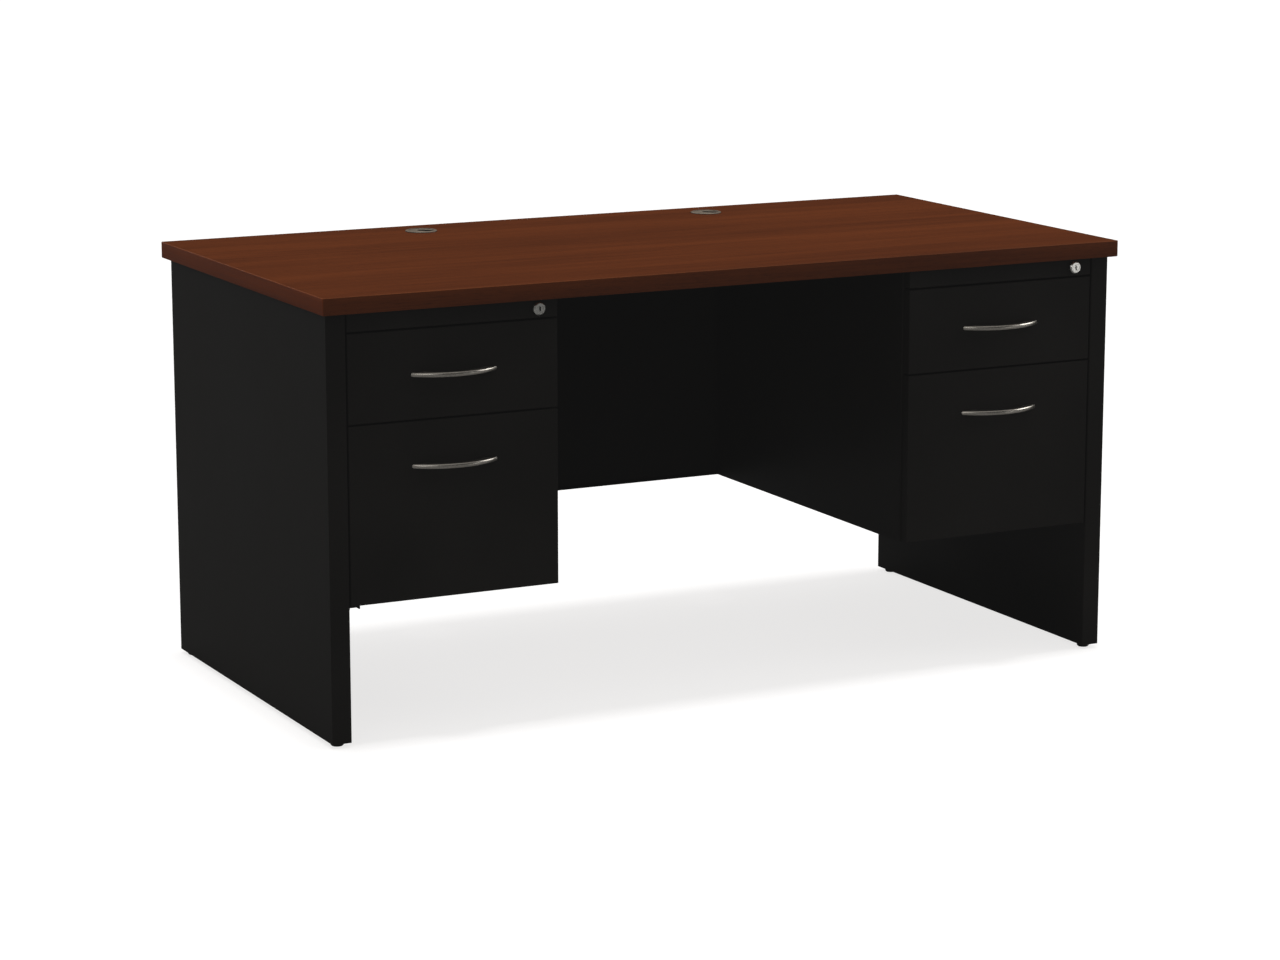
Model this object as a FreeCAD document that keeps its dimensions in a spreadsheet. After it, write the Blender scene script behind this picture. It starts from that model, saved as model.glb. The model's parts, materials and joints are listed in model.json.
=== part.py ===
"""A double-pedestal teacher desk in sheet steel with a laminate top.

Units are millimetres. The origin is on the floor under the middle of the top, +X runs to the
right as seen from the front, +Y runs to the rear and +Z is up, so the drawers face -Y.
Sizes live in the spreadsheet, and every other length is a formula of them.
"""
import FreeCAD, Part
import os
import re

import Sketcher

# ---------------------------------------------------------------- driving dimensions

SIZES = {
    # top
    "top_width": 1524.0,
    "top_depth": 762.0,
    "desk_height": 749.3,
    "top_thick": 28.6,
    "band_thick": 3.0,
    "side_overhang": 10.4,
    "front_overhang": 16.8,
    "rear_overhang": 19.7,
    # sheet steel and its bends
    "sheet": 1.0,
    "bend_radius": 1.5,
    "snug": 0.1,
    # end panels
    "panel_thick": 34.0,
    # modesty panel
    "modesty_inset": 50.8,
    "modesty_thick": 20.0,
    # pedestals
    "pedestal_width": 381.0,
    "pedestal_clearance": 235.5,
    "case_return": 8.0,
    "top_flange": 22.0,
    "floor_rise": 10.0,
    "ledge_width": 20.0,
    "ledge_drop": 5.0,
    "ledge_thick": 2.0,
    "ledge_front_setback": 4.0,
    "ledge_rear_setback": 20.0,
    # drawer fronts and header rail
    "front_recess": 0.0,
    "front_thick": 18.0,
    "front_gap": 1.0,
    "front_side_gap": 3.0,
    "front_lap": 6.0,
    "reveal": 3.0,
    "header_height": 32.0,
    "header_tab": 12.0,
    "box_front_height": 148.5,
    # drawer bodies and telescopic slides
    "drawer_depth": 610.0,
    "drawer_lift": 12.0,
    "drawer_drop": 20.0,
    "slide_height": 46.0,
    "slide_thick": 12.7,
    "slide_sheet": 1.2,
    "slide_gap": 0.3,
    "slide_length": 610.0,
    "slide_setback": 3.0,
    "box_slide_up": 70.0,
    "file_slide_up": 142.0,
    "standard_depth": 8.0,
    "standard_width": 30.0,
    "standard_front": 45.0,
    "standard_rear": 80.0,
    # handles
    "handle_length": 153.0,
    "handle_centres": 128.0,
    "handle_reach": 28.0,
    "handle_bar": 8.0,
    "handle_height": 8.0,
    "handle_foot": 26.5,
    "handle_round": 2.5,
    "handle_drop": 74.5,
    # screws
    "screw_radius": 2.0,
    "screw_head_radius": 4.2,
    "screw_head": 2.5,
    "screw_head_taper": 1.3,
    "screw_end_gap": 0.5,
    "handle_screw_grip": 7.0,
    "top_screw_grip": 16.0,
    "frame_screw_length": 12.0,
    "top_screw_setback": 60.0,
    "frame_screw_setback": 140.0,
    "frame_screw_up": 25.0,
    "modesty_screw_up": 60.0,
    # lock and its bar
    "lock_inset": 38.0,
    "lock_bore": 6.5,
    "lock_wall": 2.5,
    "lock_lip": 2.0,
    "lock_stands_out": 7.5,
    "lock_length": 24.0,
    "lock_fit": 0.05,
    "lock_tail": 2.0,
    "face_inset": 0.5,
    "keyway_width": 2.8,
    "keyway_height": 8.0,
    "keyway_depth": 14.0,
    "cam_rim": 2.0,
    "cam_thick": 2.5,
    "cam_throw": 7.0,
    "cam_pin_radius": 2.0,
    "cam_pin_length": 5.5,
    "bar_gap": 0.4,
    "bar_thick": 2.0,
    "bar_width": 14.0,
    "bar_behind_cam": 1.5,
    "tab_height": 13.0,
    "finger_reach": 15.0,
    "finger_width": 8.0,
    "finger_height": 8.0,
    "finger_gap": 3.0,
    "lug_clear": 9.0,
    "lug_behind": 9.0,
    "lug_drop": 27.0,
    "guide_radius": 2.5,
    "guide_high": 8.0,
    "guide_low": 20.0,
    # levelling glides
    "glide_height": 7.6,
    "glide_gap": 0.3,
    "glide_radius": 11.0,
    "glide_bevel": 2.0,
    "glide_stud": 4.0,
    "glide_stud_length": 27.0,
    "stud_bevel": 1.0,
    "glide_hole_play": 0.6,
    "glide_front": 22.5,
    "glide_rear": 22.5,
    "nut_wall": 3.5,
    "nut_room": 1.5,
    "nut_height": 6.5,
    "nut_fit": 0.08,
    # cable grommets
    "grommet_apart": 586.0,
    "grommet_back": 80.0,
    "grommet_hole": 50.8,
    "grommet_lip": 3.6,
    "grommet_seat": 1.0,
    "seat_play": 0.3,
    "grommet_rise": 2.2,
    "grommet_sleeve": 24.0,
    "grommet_wall": 1.8,
    "grommet_step": 4.0,
    "grommet_ledge": 2.2,
    "cap_gap": 0.3,
    "cap_sink": 0.6,
    "cap_thick": 2.5,
    "cap_slot": 15.0,
    "cap_turn": 45.0,
}

# ---------------------------------------------------------------- places worked out from them

PLACES = {
    "top_under": "desk_height - top_thick",
    "panel_out": "top_width / 2 - side_overhang",
    "panel_in": "panel_out - panel_thick",
    "panel_front": "front_overhang - top_depth / 2",
    "panel_rear": "top_depth / 2 - rear_overhang",
    "modesty_front": "top_depth / 2 - modesty_inset",
    "modesty_rear": "modesty_front + modesty_thick",
    "half_case": "pedestal_width / 2",
    "wall": "half_case - sheet",
    "case_centre": "panel_in - half_case",
    "case_bottom": "pedestal_clearance",
    "face": "panel_front + front_recess",
    "front_back": "face + front_thick",
    "case_front": "front_back + front_gap",
    "case_rear": "modesty_front",
    "half_front": "half_case - front_side_gap",
    "header_bottom": "top_under - header_height",
    "box_top": "header_bottom - reveal",
    "box_bottom": "box_top - box_front_height",
    "file_top": "box_bottom - reveal",
    "file_bottom": "case_bottom + front_gap",
    "half_drawer": "wall - standard_depth - slide_thick",
    "slide_front": "case_front + slide_setback",
    "slide_rear": "slide_front + slide_length",
    "top_screw_across": "wall - top_flange / 2",
    "lock_height": "(header_bottom + top_under) / 2",
    "lock_across": "half_case - lock_inset",
    "lock_barrel": "lock_bore + lock_wall",
    "lock_bezel": "lock_barrel + lock_lip",
    "plug_face": "face_inset - lock_stands_out",
    "cam_front": "lock_length + lock_tail",
    "cam_radius": "cam_throw + cam_pin_radius + cam_rim",
    "cam_rear": "cam_front + cam_thick",
    "pin_offset": "cam_throw * sqrt(0.5)",
    "bar_travel": "2 * pin_offset",
    "bar_out": "wall - bar_gap",
    "bar_in": "bar_out - bar_thick",
    "bar_front": "face + cam_rear + bar_behind_cam",
    "bar_rear": "bar_front + bar_width",
    "bar_middle": "bar_front + bar_width / 2",
    "lug_front": "bar_front + finger_width + lug_behind",
    "tab_middle": "lock_height + pin_offset",
    "nut_bottom": "glide_height + sheet",
    "nut_radius": "glide_stud + nut_wall",
    "panel_return": "panel_thick / 2 - nut_radius - nut_room",
    "flange_radius": "grommet_hole / 2 + grommet_lip",
    "liner_bore": "grommet_hole / 2 - snug - grommet_wall",
    "cap_radius": "liner_bore - cap_gap",
    "cap_top": "grommet_rise - cap_sink",
}

HANDLE_HOLES = ("-handle_centres / 2", "handle_centres / 2")
SIDES = {"left": "-1", "right": "1"}

document = FreeCAD.newDocument("TeacherDesk")
sheet = document.addObject("Spreadsheet::Sheet", "Sizes")
nodes = []


def fill_sheet():
    """Write each size in its own cell, with its name beside it."""
    for row, (alias, number) in enumerate(SIZES.items(), start=1):
        sheet.set(f"A{row}", alias.replace("_", " "))
        sheet.set(f"B{row}", str(number))
        sheet.setAlias(f"B{row}", alias)
    document.recompute()


def formula(text):
    """Return the expression with places written out and sizes pointed at their cells."""

    def swap(match):
        word = match.group(0)
        if word in PLACES:
            return f"({formula(PLACES[word])})"
        if word in SIZES:
            return f"Sizes.{word}"
        return word

    return re.sub(r"[a-z_]+", swap, str(text))


def value(text):
    return float(sheet.evalExpression(formula(text)))


def bind(thing, prop, text):
    thing.setExpression(prop, formula(text))


def move(thing, place):
    """Tie an object's position to three expressions."""
    for axis, text in zip("xyz", place):
        bind(thing, f"Placement.Base.{axis}", text)


def keep(thing, label):
    """Count an object as a finished sub-part."""
    thing.Label = label
    nodes.append(thing)
    return thing


# ---------------------------------------------------------------- sketches and features

def new_body(label):
    return keep(document.addObject("PartDesign::Body", label), label)


def origin_plane(body, role):
    return next(item for item in body.Origin.OriginFeatures if item.Role == role)


def new_sketch(body, role, level):
    """A sketch on an origin plane of its body, moved to a level along the plane's normal."""
    drawing = body.newObject("Sketcher::SketchObject", "Sketch")
    drawing.AttachmentSupport = [(origin_plane(body, role + "_Plane"), "")]
    drawing.MapMode = "FlatFace"
    bind(drawing, "AttachmentOffset.Base.z", level)
    return drawing


def pin_point(drawing, edge, end, point):
    """Hold one end, or the centre, of an edge at a place in the sketch."""
    for kind, text in zip(("DistanceX", "DistanceY"), point):
        row = drawing.addConstraint(Sketcher.Constraint(kind, -1, 1, edge, end, value(text)))
        bind(drawing, f"Constraints[{row}]", text)


def add_outline(drawing, points):
    """A closed outline of straight edges through the points."""
    corners = [FreeCAD.Vector(value(across), value(up), 0) for across, up in points]
    first = drawing.GeometryCount
    count = len(points)
    for index in range(count):
        line = Part.LineSegment(corners[index], corners[(index + 1) % count])
        drawing.addGeometry(line, False)
    for index in range(count):
        following = first + (index + 1) % count
        drawing.addConstraint(Sketcher.Constraint("Coincident", first + index, 2, following, 1))
        pin_point(drawing, first + index, 1, points[index])


def add_circle(drawing, centre, radius):
    across, up = centre
    middle = FreeCAD.Vector(value(across), value(up), 0)
    circle = Part.Circle(middle, FreeCAD.Vector(0, 0, 1), value(radius))
    edge = drawing.addGeometry(circle, False)
    pin_point(drawing, edge, 3, centre)
    row = drawing.addConstraint(Sketcher.Constraint("Radius", edge, value(radius)))
    bind(drawing, f"Constraints[{row}]", radius)


def rectangle(low, high):
    """The four corners of a rectangle."""
    return [low, (high[0], low[1]), high, (low[0], high[1])]


def grown(low, high, inset):
    """A rectangle's four corners, brought in by the inset on every side."""
    inner_low = tuple(f"({text}) + {inset}" for text in low)
    inner_high = tuple(f"({text}) - ({inset})" for text in high)
    return rectangle(inner_low, inner_high)


def pad(body, role, low, high, outlines=(), circles=()):
    """Add material between two levels of X, Y or Z."""
    level = f"-({high})" if role == "XZ" else low
    drawing = new_sketch(body, role, level)
    draw(drawing, outlines, circles)
    feature = body.newObject("PartDesign::Pad", "Pad")
    feature.Profile = drawing
    bind(feature, "Length", f"({high}) - ({low})")
    document.recompute()
    return feature


def pocket(body, role, low, high, outlines=(), circles=()):
    """Take material away between two levels of X, Y or Z."""
    before = body.Shape.Volume
    level = f"-({low})" if role == "XZ" else high
    drawing = new_sketch(body, role, level)
    draw(drawing, outlines, circles)
    feature = body.newObject("PartDesign::Pocket", "Pocket")
    feature.Profile = drawing
    bind(feature, "Length", f"({high}) - ({low})")
    document.recompute()
    if body.Shape.Volume >= before:
        raise RuntimeError(f"a pocket of {body.Label} took nothing away")
    return feature


def draw(drawing, outlines, circles):
    for points in outlines:
        add_outline(drawing, points)
    for centre, radius in circles:
        add_circle(drawing, centre, radius)


def revolve(body, role, points):
    """Turn a profile of (radius, height) points about the sketch's upright axis."""
    drawing = new_sketch(body, role, "0")
    add_outline(drawing, points)
    feature = body.newObject("PartDesign::Revolution", "Revolution")
    feature.Profile = drawing
    feature.ReferenceAxis = (drawing, ["V_Axis"])
    document.recompute()
    return feature


def round_edges(body, wanted, radius):
    """Round the edges of a body's tip that the test accepts."""
    tip = body.Tip
    names = [f"Edge{index}" for index, edge in enumerate(tip.Shape.Edges, start=1) if wanted(edge)]
    feature = body.newObject("PartDesign::Fillet", "Fillet")
    feature.Base = (tip, names)
    bind(feature, "Radius", radius)
    document.recompute()


def is_upright_at(x=None, y=None):
    """A test for edges that run along Z at a given X or Y."""

    def wanted(edge):
        box = edge.BoundBox
        upright = box.XLength < 0.01 and box.YLength < 0.01
        at_x = x is None or min(abs(box.XMin - place) for place in x) < 0.01
        at_y = y is None or min(abs(box.YMin - place) for place in y) < 0.01
        return upright and at_x and at_y

    return wanted


def is_in_face(y):
    """A test for edges that lie in the plane at a given Y."""

    def wanted(edge):
        box = edge.BoundBox
        return abs(box.YMin - y) < 0.01 and abs(box.YMax - y) < 0.01

    return wanted


# ---------------------------------------------------------------- primitives

TURNS = {
    "+Z": FreeCAD.Rotation(),
    "+X": FreeCAD.Rotation(FreeCAD.Vector(0, 1, 0), 90),
    "-X": FreeCAD.Rotation(FreeCAD.Vector(0, 1, 0), -90),
    "-Y": FreeCAD.Rotation(FreeCAD.Vector(1, 0, 0), 90),
}


def block(low, high):
    """A box between two corners."""
    box = document.addObject("Part::Box", "Box")
    for prop, start, end in zip(("Length", "Width", "Height"), low, high):
        bind(box, prop, f"({end}) - ({start})")
    move(box, low)
    return box


def beside(side, low, high):
    """A box between two corners whose X is counted from the middle of a pedestal."""
    middle = f"{side} * case_centre"
    return block((f"{middle} + ({low[0]})", *low[1:]), (f"{middle} + ({high[0]})", *high[1:]))


def rod(start, direction, radius, length):
    """A cylinder from a point along one of the named directions."""
    cylinder = document.addObject("Part::Cylinder", "Cylinder")
    bind(cylinder, "Radius", radius)
    bind(cylinder, "Height", length)
    cylinder.Placement = FreeCAD.Placement(FreeCAD.Vector(), TURNS[direction])
    move(cylinder, start)
    return cylinder


def cut(base, tool):
    result = document.addObject("Part::Cut", "Cut")
    result.Base = base
    result.Tool = tool
    return result


def group(label, things):
    """Separate solids kept together as one sub-part."""
    result = document.addObject("Part::Compound", label)
    result.Links = things
    return keep(result, label)


def screw(start, direction, length):
    """A pan-head screw: the head's seat is at the start, and the shank runs along."""
    shank = rod(start, direction, "screw_radius", length)
    return with_head(shank, start, direction)


def with_head(shank, start, direction):
    """Join a bevelled head to a shank, on the side away from its direction."""
    head = document.addObject("Part::Cone", "Head")
    bind(head, "Radius1", "screw_head_radius")
    bind(head, "Radius2", "screw_head_radius - screw_head_taper")
    bind(head, "Height", "screw_head")
    flip = FreeCAD.Rotation(FreeCAD.Vector(1, 0, 0), 180)
    head.Placement = FreeCAD.Placement(FreeCAD.Vector(), TURNS[direction].multiply(flip))
    move(head, start)
    result = document.addObject("Part::Fuse", "Screw")
    result.Base = shank
    result.Tool = head
    return result


# ---------------------------------------------------------------- top

def top_screw_places():
    """Where the eight screws through the pedestals' top flanges enter the top."""
    return [
        (f"{side} * case_centre + {hand} * top_screw_across", along)
        for side in SIDES.values()
        for hand in SIDES.values()
        for along in ("case_front + top_screw_setback", "case_rear - top_screw_setback")
    ]


def grommet_places():
    return {
        name: (f"{side} * grommet_apart / 2", "top_depth / 2 - grommet_back")
        for name, side in SIDES.items()
    }


def make_work_surface():
    """The board, with a rebated hole for each grommet and pilot holes for the screws under it."""
    body = new_body("work_surface")
    board = grown(
        ("-top_width / 2", "-top_depth / 2"), ("top_width / 2", "top_depth / 2"), "band_thick"
    )
    holes = [(place, "grommet_hole / 2") for place in grommet_places().values()]
    pad(body, "XY", "top_under", "desk_height", [board], holes)
    seats = [(place, "flange_radius + seat_play") for place in grommet_places().values()]
    pocket(body, "XY", "desk_height - grommet_seat", "desk_height", circles=seats)
    pilots = [(place, "screw_radius + snug / 2") for place in top_screw_places()]
    pocket(body, "XY", "top_under", "top_under + top_screw_grip", circles=pilots)


def make_edge_band():
    """Vinyl strips on the four edges of the top: the long ones cover the short ones' ends."""
    strips = []
    for near, far in (
        ("-top_depth / 2", "band_thick - top_depth / 2"),
        ("top_depth / 2 - band_thick", "top_depth / 2"),
    ):
        strips.append(
            block(("-top_width / 2", near, "top_under"), ("top_width / 2", far, "desk_height"))
        )
    for near, far in (
        ("-top_width / 2", "band_thick - top_width / 2"),
        ("top_width / 2 - band_thick", "top_width / 2"),
    ):
        strips.append(
            block(
                (near, "band_thick - top_depth / 2", "top_under"),
                (far, "top_depth / 2 - band_thick", "desk_height"),
            )
        )
    group("edge_band", strips)


def make_top_screws():
    screws = [
        screw((across, along, "top_under - sheet"), "+Z", "sheet + top_screw_grip - screw_end_gap")
        for across, along in top_screw_places()
    ]
    group("top_screws", screws)


def make_grommet(name, place):
    """A liner whose flange sits in a rebate of the top, and a cap with a cable slot that turns in it."""
    liner = new_body(f"grommet_liner_{name}")
    revolve(
        liner,
        "XZ",
        [
            ("liner_bore - grommet_ledge", "-grommet_sleeve"),
            ("grommet_hole / 2 - snug", "-grommet_sleeve"),
            ("grommet_hole / 2 - snug", "-grommet_seat"),
            ("flange_radius", "-grommet_seat"),
            ("flange_radius", "grommet_rise / 2"),
            ("flange_radius - grommet_rise", "grommet_rise"),
            ("liner_bore", "grommet_rise"),
            ("liner_bore", "-grommet_step"),
            ("liner_bore - grommet_ledge", "-grommet_step"),
        ],
    )
    move(liner, (place[0], place[1], "desk_height"))

    cap = new_body(f"grommet_cap_{name}")
    revolve(
        cap,
        "XZ",
        [
            ("0", "cap_top - cap_thick"),
            ("cap_radius - grommet_ledge", "cap_top - cap_thick"),
            ("cap_radius - grommet_ledge", "cap_gap - grommet_step"),
            ("cap_radius", "cap_gap - grommet_step"),
            ("cap_radius", "cap_top"),
            ("0", "cap_top"),
        ],
    )
    slot = rectangle(("-cap_slot / 2", "-liner_bore"), ("cap_slot / 2", "0"))
    pocket(cap, "XY", "-grommet_step", "grommet_rise", [slot])
    pocket(cap, "XY", "-grommet_step", "grommet_rise", circles=[(("0", "0"), "cap_slot / 2")])
    turn = FreeCAD.Rotation(FreeCAD.Vector(0, 0, 1), value("cap_turn"))
    cap.Placement = FreeCAD.Placement(FreeCAD.Vector(), turn)
    move(cap, (place[0], place[1], "desk_height"))


# ---------------------------------------------------------------- end panels and glides

def slab(side, near, far):
    """Order two distances from the middle of the desk as low and high X on one side."""
    if side == "1":
        return near, far
    return f"-({far})", f"-({near})"


def glide_places():
    """The four glides: their name and where they stand."""
    ends = {"front": "panel_front + glide_front", "rear": "panel_rear - glide_rear"}
    return {
        f"{end}_{name}": (f"{side} * (panel_out - panel_thick / 2)", along)
        for name, side in SIDES.items()
        for end, along in ends.items()
    }


def frame_screw_places():
    """Where each pedestal is screwed to its end panel, as (Y, Z)."""
    return [
        (along, up)
        for along in ("case_front + frame_screw_setback", "case_rear - frame_screw_setback")
        for up in ("case_bottom + frame_screw_up", "top_under - frame_screw_up")
    ]


def modesty_screw_places():
    """Where the modesty panel's side flanges are screwed to the end panels, as (Y, Z)."""
    middle = "modesty_front + modesty_thick / 2"
    return [(middle, "case_bottom + modesty_screw_up"), (middle, "top_under - modesty_screw_up")]


def make_end_panel(name, side):
    """An outer shell bent round on four sides, and a tray that closes its inner face."""
    low, high = ("panel_front", "glide_height"), ("panel_rear", "top_under")
    start, end = slab(side, "panel_in", "panel_out")
    shell = new_body(f"end_panel_{name}")
    pad(shell, "YZ", start, end, [rectangle(low, high)])
    corners = is_upright_at(y=(value("panel_front"), value("panel_rear")))
    round_edges(shell, corners, "bend_radius")
    start, end = slab(side, "panel_in", "panel_out - sheet")
    pocket(shell, "YZ", start, end, [grown(low, high, "sheet")])
    places = [place for key, place in glide_places().items() if name in key]
    holes = [(place, "glide_stud + glide_hole_play") for place in places]
    pocket(shell, "XY", "glide_height", "glide_height + sheet", circles=holes)

    tray = new_body(f"inner_panel_{name}")
    start, end = slab(side, "panel_in", "panel_in + panel_return")
    pad(tray, "YZ", start, end, [grown(low, high, "sheet")])
    start, end = slab(side, "panel_in + sheet", "panel_in + panel_return")
    pocket(tray, "YZ", start, end, [grown(low, high, "2 * sheet")])
    start, end = slab(side, "panel_in", "panel_in + sheet")
    places = frame_screw_places() + modesty_screw_places()
    holes = [(place, "screw_radius + snug / 2") for place in places]
    pocket(tray, "YZ", start, end, circles=holes)


def make_glide(name, place):
    """A levelling glide: a round foot on a threaded stud."""
    body = new_body(f"glide_{name}")
    top = "glide_height - glide_gap"
    revolve(
        body,
        "XZ",
        [
            ("0", "0"),
            ("glide_radius - glide_bevel", "0"),
            ("glide_radius", "glide_bevel"),
            ("glide_radius", f"{top} - glide_bevel"),
            ("glide_radius - glide_bevel", top),
            ("glide_stud", top),
            ("glide_stud", f"{top} + glide_stud_length - stud_bevel"),
            ("glide_stud - stud_bevel", f"{top} + glide_stud_length"),
            ("0", f"{top} + glide_stud_length"),
        ],
    )
    move(body, (place[0], place[1], "0"))


def make_glide_nuts():
    """Hexagon nuts welded inside the end panels' bottom flanges."""
    nuts = []
    for across, along in glide_places().values():
        prism = document.addObject("Part::Prism", "Nut")
        prism.Polygon = 6
        bind(prism, "Circumradius", "nut_radius")
        bind(prism, "Height", "nut_height")
        move(prism, (across, along, "nut_bottom"))
        bore = rod((across, along, "nut_bottom"), "+Z", "glide_stud + nut_fit", "nut_height")
        nuts.append(cut(prism, bore))
    group("glide_nuts", nuts)


# ---------------------------------------------------------------- modesty panel and ledges

def make_modesty_panel():
    """A flat sheet that looks to the rear, with a flange to the front along each of its edges."""
    skin = "(modesty_rear - sheet)"
    bottom, top = "case_bottom", "top_under"
    sheets = [
        block(("-panel_in", skin, bottom), ("panel_in", "modesty_rear", top)),
        block(("-panel_in", "modesty_front", bottom), ("panel_in", skin, f"{bottom} + sheet")),
        block(("-panel_in", "modesty_front", f"{top} - sheet"), ("panel_in", skin, top)),
    ]
    for side in SIDES.values():
        start, end = slab(side, "panel_in - sheet", "panel_in")
        flange = block((start, "modesty_front", f"{bottom} + sheet"), (end, skin, f"{top} - sheet"))
        for along, up in modesty_screw_places():
            flange = cut(flange, rod((start, along, up), "+X", "screw_radius + snug / 2", "sheet"))
        sheets.append(flange)
    group("modesty_panel", sheets)


def make_ledges():
    """Channels on the end panels' inner faces that the pedestals stand on, open downwards."""
    ledges = []
    near, far = "panel_front + ledge_front_setback", "case_rear - ledge_rear_setback"
    for side in SIDES.values():
        start, end = slab(side, "panel_in - ledge_width", "panel_in")
        bar = block((start, near, "case_bottom - ledge_drop"), (end, far, "case_bottom"))
        inner = "panel_in - ledge_width + ledge_thick"
        start, end = slab(side, inner, "panel_in - ledge_thick")
        under = (start, near, "case_bottom - ledge_drop")
        hollow = block(under, (end, far, "case_bottom - ledge_thick"))
        ledges.append(cut(bar, hollow))
    group("pedestal_ledges", ledges)


def make_frame_screws():
    """Screws that hold the pedestals and the modesty panel, and rivets that guide the lock bars."""
    screws = []
    for side in SIDES.values():
        direction = "+X" if side == "1" else "-X"
        for along, up in frame_screw_places() + modesty_screw_places():
            seat = f"{side} * (panel_in - sheet)"
            screws.append(screw((seat, along, up), direction, "frame_screw_length"))
        for up in guide_heights():
            seat = f"{side} * case_centre + bar_in - slide_gap"
            length = "half_case - bar_in + slide_gap"
            shank = rod((seat, "bar_middle", up), "+X", "guide_radius", length)
            screws.append(with_head(shank, (seat, "bar_middle", up), "+X"))
    group("frame_screws", screws)


# ---------------------------------------------------------------- pedestals

def make_case(name, side):
    """The pedestal's wrap: two sides and a back, folded in at the front and the top."""
    body = new_body(f"pedestal_case_{name}")
    wrap = [
        ("case_return - half_case", "case_front"),
        ("-half_case", "case_front"),
        ("-half_case", "case_rear"),
        ("half_case", "case_rear"),
        ("half_case", "case_front"),
        ("half_case - case_return", "case_front"),
        ("half_case - case_return", "case_front + sheet"),
        ("wall", "case_front + sheet"),
        ("wall", "case_rear - sheet"),
        ("-wall", "case_rear - sheet"),
        ("-wall", "case_front + sheet"),
        ("case_return - half_case", "case_front + sheet"),
    ]
    pad(body, "XY", "case_bottom", "top_under", [wrap])
    edge = value("half_case")
    round_edges(body, is_upright_at(x=(-edge, edge), y=(value("case_front"),)), "bend_radius")
    flanges = [
        rectangle(("-wall", "case_front + sheet"), ("top_flange - wall", "case_rear - sheet")),
        rectangle(("wall - top_flange", "case_front + sheet"), ("wall", "case_rear - sheet")),
    ]
    pad(body, "XY", "top_under - sheet", "top_under", flanges)
    holes = [
        ((f"{hand} * top_screw_across", along), "screw_radius + snug / 2")
        for hand in SIDES.values()
        for along in ("case_front + top_screw_setback", "case_rear - top_screw_setback")
    ]
    pocket(body, "XY", "top_under - sheet", "top_under", circles=holes)
    start, end = slab(side, "wall", "half_case")
    holes = [(place, "screw_radius + snug / 2") for place in frame_screw_places()]
    pocket(body, "YZ", start, end, circles=holes)
    holes = [(("bar_middle", up), "guide_radius + snug / 2") for up in guide_heights()]
    pocket(body, "YZ", "wall", "half_case", circles=holes)
    move(body, (f"{side} * case_centre", "0", "0"))


def make_case_floor(name, side):
    body = new_body(f"pedestal_floor_{name}")
    low, high = ("-wall", "case_front + sheet"), ("wall", "case_rear - sheet")
    pad(body, "XY", "case_bottom", "case_bottom + floor_rise", [rectangle(low, high)])
    inner = grown(low, high, "sheet")
    pocket(body, "XY", "case_bottom + sheet", "case_bottom + floor_rise", [inner])
    move(body, (f"{side} * case_centre", "0", "0"))


def make_header_rail(name, side):
    """The channel across the top of a pedestal's front, which holds the lock."""
    body = new_body(f"header_rail_{name}")
    low, high = ("-half_front", "header_bottom"), ("half_front", "top_under")
    pad(body, "XZ", "face", "case_front", [rectangle(low, high)])
    round_edges(body, is_in_face(value("face")), "bend_radius")
    inner = grown(low, high, "sheet")
    pocket(body, "XZ", "face + sheet", "case_front", [inner])
    tabs = [
        rectangle(("sheet - half_front", "header_bottom + sheet"),
                  ("header_tab - half_front", "top_under - sheet")),
        rectangle(("half_front - header_tab", "header_bottom + sheet"),
                  ("half_front - sheet", "top_under - sheet")),
    ]
    pad(body, "XZ", "case_front - sheet", "case_front", tabs)
    hole = (("lock_across", "lock_height"), "lock_barrel + snug")
    pocket(body, "XZ", "face", "face + sheet", circles=[hole])
    move(body, (f"{side} * case_centre", "0", "0"))


def make_slide_standards():
    """Upright channels on the pedestals' sides that carry the drawer slides."""
    starts = ("case_front + standard_front", "case_rear - standard_rear - standard_width")
    standards = [
        upright_channel(side, hand, near)
        for side in SIDES.values()
        for hand in SIDES.values()
        for near in starts
    ]
    group("slide_standards", standards)


def upright_channel(side, hand, near):
    """One upright channel, open towards the pedestal's side."""
    far = f"{near} + standard_width"
    low, high = "case_bottom + floor_rise", "header_bottom"
    start, end = slab(hand, "wall - standard_depth", "wall")
    shift = f"{side} * case_centre"
    outer = block((f"{shift} + {start}", near, low), (f"{shift} + {end}", far, high))
    start, end = slab(hand, "wall - standard_depth + sheet", "wall")
    hollow = block(
        (f"{shift} + {start}", f"{near} + sheet", low), (f"{shift} + {end}", f"{far} - sheet", high)
    )
    return cut(outer, hollow)


# ---------------------------------------------------------------- lock

def guide_heights():
    """Heights of the two rivets that guide each lock bar."""
    return ("header_bottom - guide_high", "box_bottom + guide_low")


def lug_top(drawer):
    return f"({drawer}_top - lug_drop)"


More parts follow.
